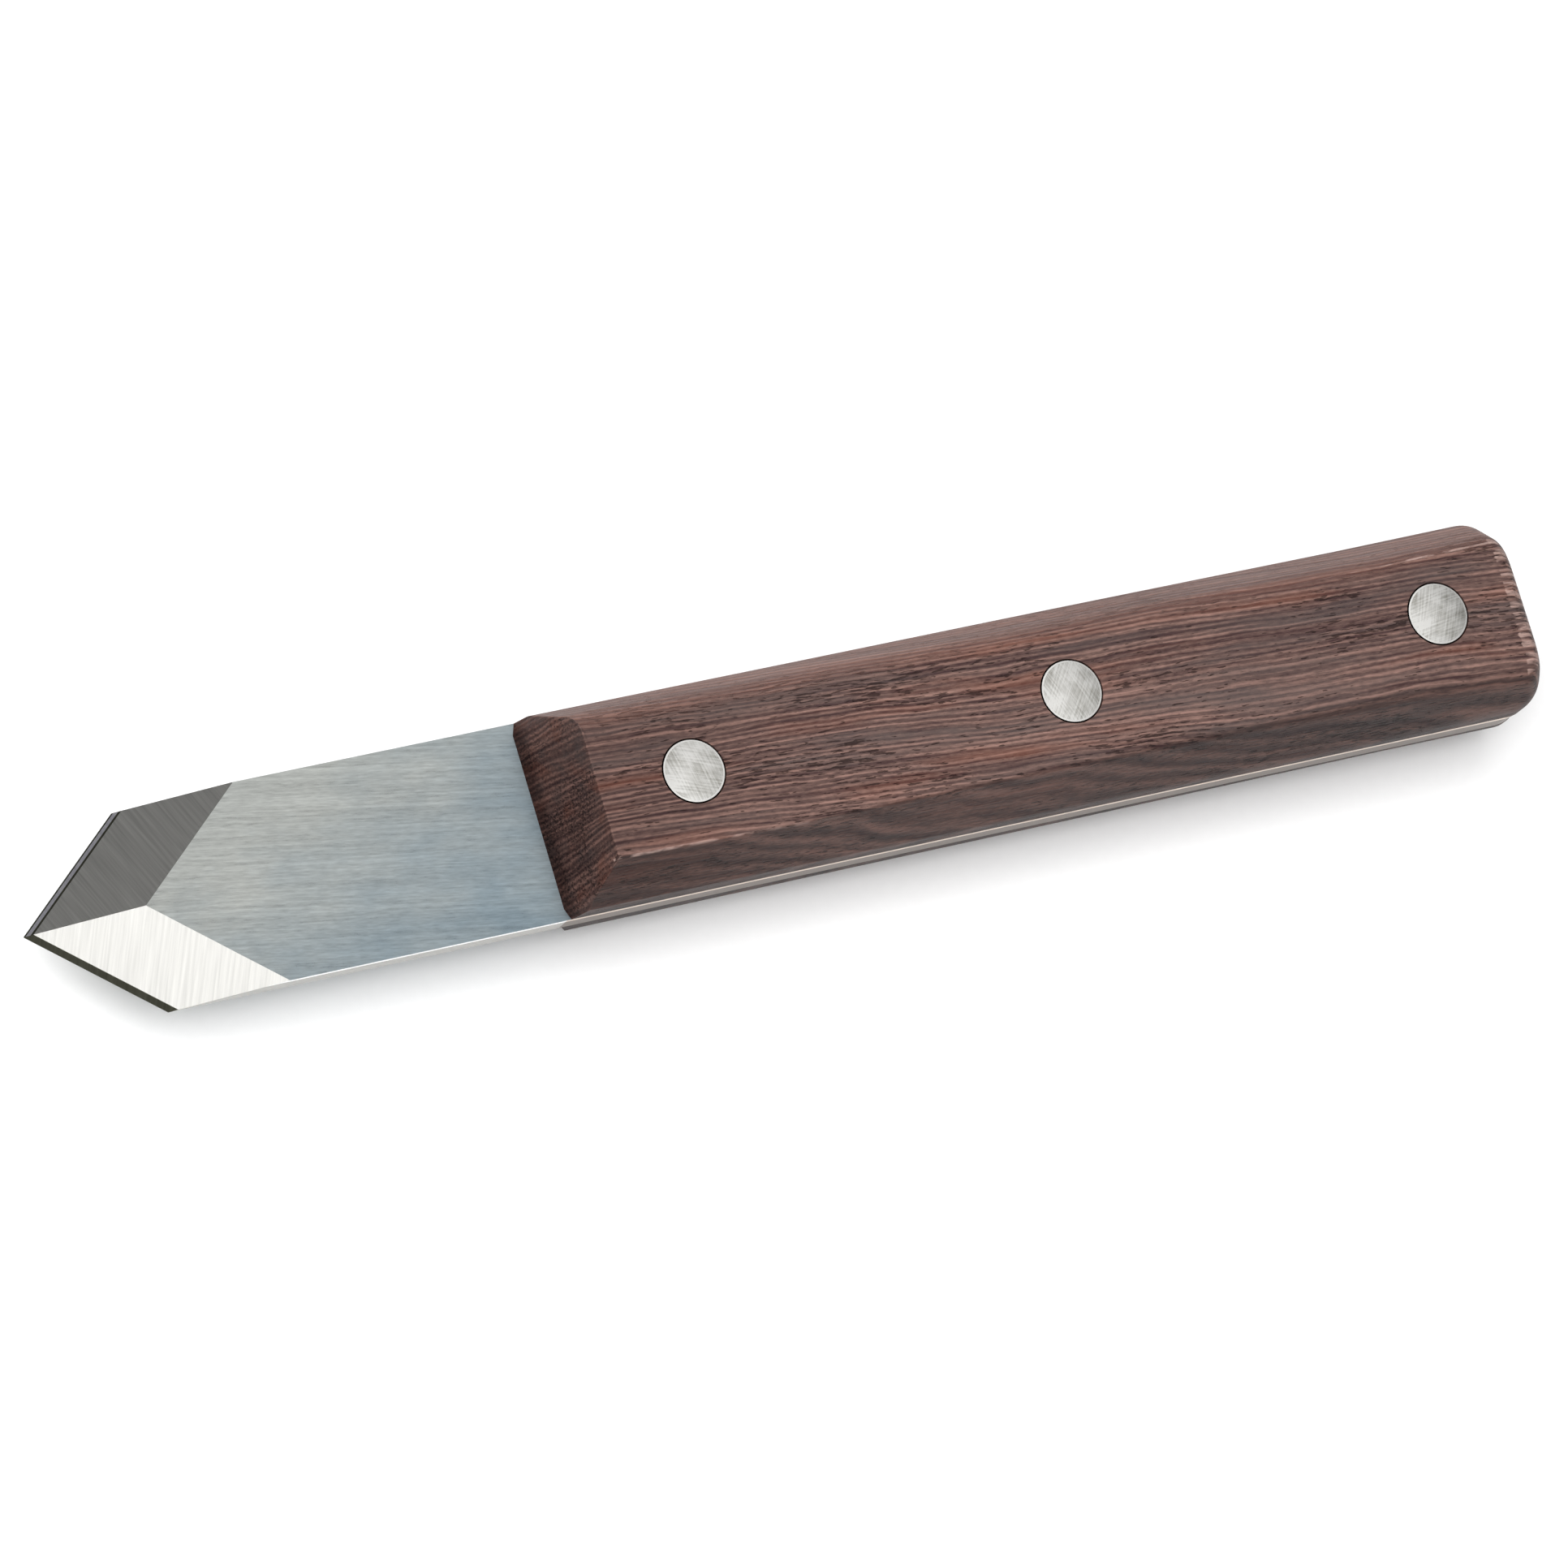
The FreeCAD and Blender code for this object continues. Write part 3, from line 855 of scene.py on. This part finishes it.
@dataclass
class Scale:
    """One wooden scale: a profile carried from the sloping front face to the rounded butt.

    The tuples of crown, wall, arris and knee hold one value at each of the marks, which are
    stations. Near is towards -Y and far towards +Y. The butt's radii are those of the wall,
    the chamfer and the crown.
    """

    side: Side
    node: str
    rivet_nodes: tuple[str, ...]
    front_run: float = 4.2
    front_break: float = 0.18
    corner_back: float = 0.5
    corner_in: float = 1.3
    marks: tuple[float, ...] = (59.0, 63.0, 80.0, 120.0, 160.0, 178.2)
    crown_near: tuple[float, ...] = (7.45, 7.5, 7.9, 8.0, 8.1, 8.7)
    crown_far: tuple[float, ...] = (8.4, 8.3, 7.7, 7.2, 6.8, 7.0)
    wall_near: tuple[float, ...] = (2.8, 2.8, 2.6, 2.3, 1.8, 3.6)
    wall_far: tuple[float, ...] = (2.3, 2.3, 2.4, 2.0, 0.9, 1.4)
    arris_near: tuple[float, ...] = (0.25, 0.25, 0.4, 1.2, 3.0, 4.5)
    arris_far: tuple[float, ...] = (6.5, 6.4, 6.2, 6.0, 5.2, 3.2)
    knee_near: tuple[float, ...] = (0.3, 0.4, 0.8, 2.0, 6.0, 8.0)
    knee_far: tuple[float, ...] = (2.0, 2.5, 4.0, 5.0, 4.0, 4.0)
    butt_near: tuple[float, float, float] = (3.2, 2.6, 1.2)
    butt_far: tuple[float, float, float] = (3.3, 2.7, 1.4)
    butt_bulge: float = 1.9
    bulge_reach: float = 9.0
    crown_wear: float = 0.22
    head_gap: float = 0.19
    seat_depth: float = 2.22
    shank_hole: float = 2.6
    lean_reach: float = 16.0
    overcut: float = 1.0
    front_rings: int = 7
    corner_rings: int = 4
    body_rings: int = 56
    butt_rings: int = 17
    corner_points: int = 11
    hole_corners: int = 96

    def stations(self, front: float, end: float) -> Array:
        """Stations of the rings: close together at the front arris and round the butt.

        Args:
            front: Station of the foot of the front face.
            end: Station of the butt.

        Returns:
            Increasing stations.
        """
        quarter = np.linspace(0.0, math.pi / 2, self.front_rings)
        turn_in = front + self.front_break * (1.0 - np.cos(quarter))
        inner, outer = front + self.corner_back, end - max(self.butt_near)
        corner = np.linspace(front + self.front_break, inner, self.corner_rings)[1:]
        body = np.linspace(inner, outer, self.body_rings)[1:]
        quarter = np.linspace(0.0, math.pi / 2, self.butt_rings)
        turn_out = end - (end - outer) * (1.0 - np.sin(quarter))
        return np.concatenate([turn_in, corner, body, turn_out[1:]])

    def insets(
        self, x: Array, front: float, end: float, radii: Sequence[float]
    ) -> tuple[Array, Array, Array]:
        """How far the walls, the chamfers and the crown draw in at each ring.

        At the butt each follows a quarter circle: r - sqrt(r^2 - (x - (end - r))^2). At the
        front all three turn in by the small arris break, and the walls also follow the
        straight corner cut.

        Args:
            x: Stations.
            front: Station of the foot of the front face.
            end: Station of the butt.
            radii: Butt radius of the wall, the chamfer and the crown.

        Returns:
            Insets of wall, chamfer and crown.
        """
        broken = np.clip((front + self.front_break - x) / self.front_break, 0.0, 1.0)
        broken = self.front_break * (1.0 - np.sqrt(1.0 - broken**2))
        found = []
        for radius in radii:
            past = np.clip(x - (end - radius), 0.0, radius)
            found.append(radius - np.sqrt(radius**2 - past**2) + broken)
        cut = self.corner_in * np.clip(1.0 - (x - front) / self.corner_back, 0.0, 1.0)
        return np.maximum(found[0], cut), found[1], found[2]

    def profile(self, x: Array, front: float, end: float, half: float, thick: float) -> Array:
        """Section of the scale at each station, as a closed ring of (across, rise) points.

        Each half is three straight lines: an upright wall, a chamfer and the crown. Each line
        is moved inwards by its inset and meets the next; each meeting is rounded by a curve
        P(t) = (1-t)^2 A + 2t(1-t) C + t^2 B between its tangent points A and B.

        Args:
            x: Stations.
            front: Station of the foot of the front face.
            end: Station of the butt.
            half: Half the width.
            thick: Thickness of the scale.

        Returns:
            Array of rings by points by 2.
        """
        halves = []
        for measures in (
            (self.crown_near, self.wall_near, self.knee_near, self.arris_near, self.butt_near),
            (self.crown_far, self.wall_far, self.knee_far, self.arris_far, self.butt_far),
        ):
            crown, wall, knee_radius, arris_radius = (
                np.interp(x, self.marks, measure) for measure in measures[:4]
            )
            inset_wall, inset_chamfer, inset_crown = self.insets(x, front, end, measures[4])
            run, rise = half - crown, thick - wall
            length = np.hypot(run, rise)
            across, up = rise / length, run / length
            reach = across * half + up * wall - inset_chamfer
            edge = half - inset_wall
            top = thick - self.crown_wear - inset_crown
            foot = np.stack([edge, np.zeros_like(x)], -1)
            knee = np.stack([edge, (reach - across * edge) / up], -1)
            brow = np.stack([(reach - up * top) / across, top], -1)
            middle = np.stack([np.zeros_like(x), top], -1)
            points = [foot[:, None]]
            for before, corner, after, radius in (
                (foot, knee, brow, knee_radius),
                (knee, brow, middle, arris_radius),
            ):
                points.append(self.rounded(before, corner, after, radius))
            halves.append(np.concatenate(points, axis=1))
        near, far = halves
        near = near * np.array([-1.0, 1.0])
        return np.concatenate([near, far[:, ::-1]], axis=1)

    def rounded(self, before: Array, corner: Array, after: Array, radius: Array) -> Array:
        """Points round one corner of every ring.

        The tangent points lie r * tan(turn / 2) from the corner, but never past 0.45 of the
        shorter side.

        Args:
            before: Previous corners.
            corner: Corners to round.
            after: Next corners.
            radius: Radius at each ring.

        Returns:
            Array of rings by points by 2.
        """
        back, ahead = before - corner, after - corner
        back_length = np.linalg.norm(back, axis=1)
        ahead_length = np.linalg.norm(ahead, axis=1)
        back, ahead = back / back_length[:, None], ahead / ahead_length[:, None]
        turn = math.pi - np.arccos(np.clip((back * ahead).sum(1), -1, 1))
        reach = np.minimum(radius * np.tan(turn / 2), 0.45 * np.minimum(back_length, ahead_length))
        start, stop = corner + back * reach[:, None], corner + ahead * reach[:, None]
        t = np.linspace(0, 1, self.corner_points)[None, :, None]
        return (1 - t) ** 2 * start[:, None] + 2 * t * (1 - t) * corner[:, None] + t**2 * stop[:, None]

    def cutter(self, centre: float, seam: float, radius: float, thick: float) -> bpy.types.Object:
        """Counterbored hole to subtract: a profile turned about the rivet's axis.

        Args:
            centre: The rivet's x.
            seam: z of the face on the tang.
            radius: Radius of the counterbore.
            thick: Thickness of the scale.

        Returns:
            A closed mesh object.
        """
        seat = thick - self.seat_depth
        outline = np.array(
            [
                [self.shank_hole, -self.overcut],
                [self.shank_hole, seat],
                [radius, seat],
                [radius, thick + self.overcut],
            ]
        )
        angle = np.linspace(0, math.tau, self.hole_corners, endpoint=False)
        reach, rise = outline[:, 0][:, None], outline[:, 1][:, None]
        points = np.stack(
            [
                centre + reach * np.cos(angle),
                reach * np.sin(angle) * self.side.value,
                seam + self.side.value * rise * np.ones_like(angle),
            ],
            axis=-1,
        )
        return mesh_object("cutter", points.reshape(-1, 3), tube_faces(len(outline), len(angle)))

    def surface(self, point: float, low: Array, high: Array, seam: float) -> bpy.types.Object:
        """The scale without its holes: the profile's rings, leant back and bulged.

        A ring at station x leans back by its rise times front_run / thick, which fades to 0
        over lean_reach. Near the butt it comes forward by butt_bulge times (rise / thick)^2,
        so that the foot stands out further than the crown.

        Args:
            point: The knife's point, in x.
            low: Lowest corner of the frame's scale.
            high: Highest corner of the frame's scale.
            seam: z of the face on the tang.

        Returns:
            A closed mesh object.
        """
        front, end = low[0] - point, high[0] - point
        thick = high[2] - low[2]
        x = self.stations(front, end)
        rings = self.profile(x, front, end, high[1], thick)
        across, rise = rings[..., 0], rings[..., 1]
        lean = self.front_run / thick * np.clip(1.0 - (x - front) / self.lean_reach, 0.0, 1.0)
        bulge = self.butt_bulge * np.clip(1.0 - (end - x) / self.bulge_reach, 0.0, 1.0)
        forward = bulge[:, None] * (rise / thick) ** 2
        points = np.stack(
            [
                point + x[:, None] + lean[:, None] * rise - forward,
                across * self.side.value,
                seam + self.side.value * rise,
            ],
            axis=-1,
        )
        faces = tube_faces(*rings.shape[:2])
        return mesh_object(f"{self.node}_wood", points.reshape(-1, 3), faces)

    def build(self, finish: bpy.types.Material) -> bpy.types.Object:
        """Make the surface, cut its holes, dress it and put it in the frame's place.

        Args:
            finish: The wood.

        Returns:
            The finished piece.
        """
        low, high = place_lengths(self.node)
        thick = high[2] - low[2]
        seam = low[2] if self.side is Side.UPPER else high[2]
        piece = self.surface(CAD_BOUNDS[0][0] / MM, low, high, seam)
        cutters = []
        for rivet in self.rivet_nodes:
            head_low, head_high = place_lengths(rivet)
            centre = (head_low[0] + head_high[0]) / 2
            radius = (head_high[0] - head_low[0]) / 2 + self.head_gap
            cutters.append(self.cutter(centre, seam, radius, thick))
        cut_away(piece, cutters)
        piece.data.shade_smooth()
        piece.data.set_sharp_from_angle(angle=SHARP_TURN)
        weighted = piece.modifiers.new("flat_faces_first", "WEIGHTED_NORMAL")
        weighted.keep_sharp = True
        piece.data.materials.clear()
        piece.data.materials.append(finish)
        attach(piece, BODY)
        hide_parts(self.node)
        return piece


@dataclass
class Handle:
    """The two scales and the three rivets that hold them to the tang."""

    rivets: tuple[str, ...] = ("front", "middle", "rear")
    first_turn: float = 20.0
    next_turn: float = 47.0

    def build(self) -> list[bpy.types.Object]:
        """Build both scales and dress both halves of every rivet.

        Returns:
            The pieces, scales first.
        """
        (front_x, _, upper_seam), _ = place_lengths("upper_scale")
        _, (_, _, lower_seam) = place_lengths("lower_scale")
        finish = OiledWenge(front_x=front_x, seam_rise=(upper_seam + lower_seam) / 2).material()
        barrels = tuple(f"{name}_rivet_barrel" for name in self.rivets)
        stems = tuple(f"{name}_rivet_stem" for name in self.rivets)
        pieces = [
            Scale(Side.UPPER, "upper_scale", barrels).build(finish),
            Scale(Side.LOWER, "lower_scale", stems).build(finish),
        ]
        for index, node in enumerate(barrels + stems):
            low, high = place_lengths(node)
            metal = SatinRivet(
                name=f"rivet_nickel_silver_{node}",
                centre_x=(low[0] + high[0]) / 2,
                turn=self.first_turn + self.next_turn * index,
            )
            pieces.append(dress_node(node, metal.material()))
        return pieces


@dataclass
class Blade:
    """Blade and tang in one bar of steel."""

    node: str = "blade"
    covered_by: str = "upper_scale"

    def build(self) -> list[bpy.types.Object]:
        """Dress the frame's blade.

        Returns:
            The one piece.
        """
        low, high = place_lengths(self.node)
        scale_low, _ = place_lengths(self.covered_by)
        steel = GroundSteel(
            point_x=low[0],
            half_width=high[1],
            top_rise=high[2],
            exposed=scale_low[0] - low[0],
        )
        return [dress_node(self.node, steel.material())]


def dress_node(node: str, finish: bpy.types.Material) -> bpy.types.Object:
    """Give a frame node its finish.

    Args:
        node: Name of the node.
        finish: Material for every slot it has.

    Returns:
        The node's object.
    """
    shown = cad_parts[node]
    if not shown.material_slots:
        shown.data.materials.append(finish)
    for place in shown.material_slots:
        place.material = finish
    return shown


# --------------------------------------------------------------------------- the studio


@dataclass(frozen=True)
class Softbox:
    """A soft light: its name, centre, sides and power, and whether it shows in reflections."""

    name: str
    place: tuple[float, float, float]
    size: tuple[float, float]
    watts: float
    glossy: bool


@dataclass
class Studio:
    """White table, soft lights and the camera."""

    floor_size: float = 6000.0
    floor_cells: int = 8
    softboxes: tuple[Softbox, ...] = (
        Softbox("wash", (-500.0, 160.0, 1250.0), (1500.0, 1500.0), 32.6, glossy=False),
        Softbox("card_near", (-60.0, -190.0, 800.0), (620.0, 330.0), 1.15, glossy=True),
        Softbox("card_far", (300.0, 170.0, 800.0), (500.0, 480.0), 0.55, glossy=True),
    )
    camera_place: tuple[float, float, float] = (-448.2, -220.4, 1047.0)
    camera_right: tuple[float, float, float] = (0.9009, -0.2823, 0.3296)
    camera_up: tuple[float, float, float] = (0.1915, 0.9402, 0.2817)
    lens: float = 241.8
    film: float = 36.0
    nearest: float = 50.0
    farthest: float = 20000.0
    sky: float = 0.22

    def build(self) -> None:
        """Make the floor, the lights, the sky and the camera."""
        self.floor()
        for softbox in self.softboxes:
            self.light(softbox)
        self.world()
        self.camera()
        bpy.context.scene.view_settings.view_transform = "Standard"

    def floor(self) -> None:
        """A level sheet of paper, a coarse grid, under the knife."""
        side = self.floor_cells + 1
        steps = np.linspace(-self.floor_size / 2, self.floor_size / 2, side)
        x, y = np.meshgrid(steps, steps, indexing="ij")
        points = np.stack([x, y, np.zeros_like(x)], -1).reshape(-1, 3)
        cells = np.arange(self.floor_cells)
        row, column = np.meshgrid(cells, cells, indexing="ij")
        first = row * side + column
        corners = [first, first + side, first + side + 1, first + 1]
        faces = np.stack(corners, -1).reshape(-1, 4)
        made = mesh_object("floor", points, faces.tolist())
        made.data.materials.append(MattePaper().material())

    def light(self, softbox: Softbox) -> None:
        """Hang a softbox that faces the knife.

        Args:
            softbox: The light to hang.
        """
        data = bpy.data.lights.new(softbox.name, "AREA")
        data.shape = "RECTANGLE"
        data.size, data.size_y = softbox.size[0] * MM, softbox.size[1] * MM
        data.energy = softbox.watts
        lamp = bpy.data.objects.new(softbox.name, data)
        lamp.location = Vector(softbox.place) * MM
        lamp.rotation_euler = (Vector((0, 0, 0)) - lamp.location).to_track_quat("-Z", "Y").to_euler()
        lamp.visible_camera = False
        lamp.visible_glossy = softbox.glossy
        bpy.context.scene.collection.objects.link(lamp)

    def world(self) -> None:
        """An even pale sky."""
        world = bpy.data.worlds.new("studio_air")
        world.use_nodes = True
        sky = world.node_tree.nodes["Background"]
        sky.inputs["Color"].default_value = (1.0, 1.0, 1.0, 1.0)
        sky.inputs["Strength"].default_value = self.sky
        bpy.context.scene.world = world

    def camera(self) -> None:
        """A long lens over the knife's near side, beyond its point."""
        data = bpy.data.cameras.new("camera")
        data.lens = self.lens
        data.sensor_width = self.film
        data.clip_start, data.clip_end = self.nearest * MM, self.farthest * MM
        made = bpy.data.objects.new("camera", data)
        right, up = Vector(self.camera_right).normalized(), Vector(self.camera_up)
        back = right.cross(up).normalized()
        up = back.cross(right)
        turn = Matrix((right, up, back)).transposed().to_4x4()
        turn.translation = Vector(self.camera_place) * MM
        made.matrix_world = turn
        bpy.context.scene.collection.objects.link(made)
        bpy.context.scene.camera = made


def main() -> None:
    """Build the studio and every sub-assembly, and report each piece."""
    logging.basicConfig(level=logging.INFO, format="%(name)s: %(message)s")
    Studio().build()
    for assembly in (Blade(), Handle()):
        for piece in assembly.build():
            log.info("%s: %d faces", piece.name, len(piece.data.polygons))


if __name__ == "__main__":
    main()
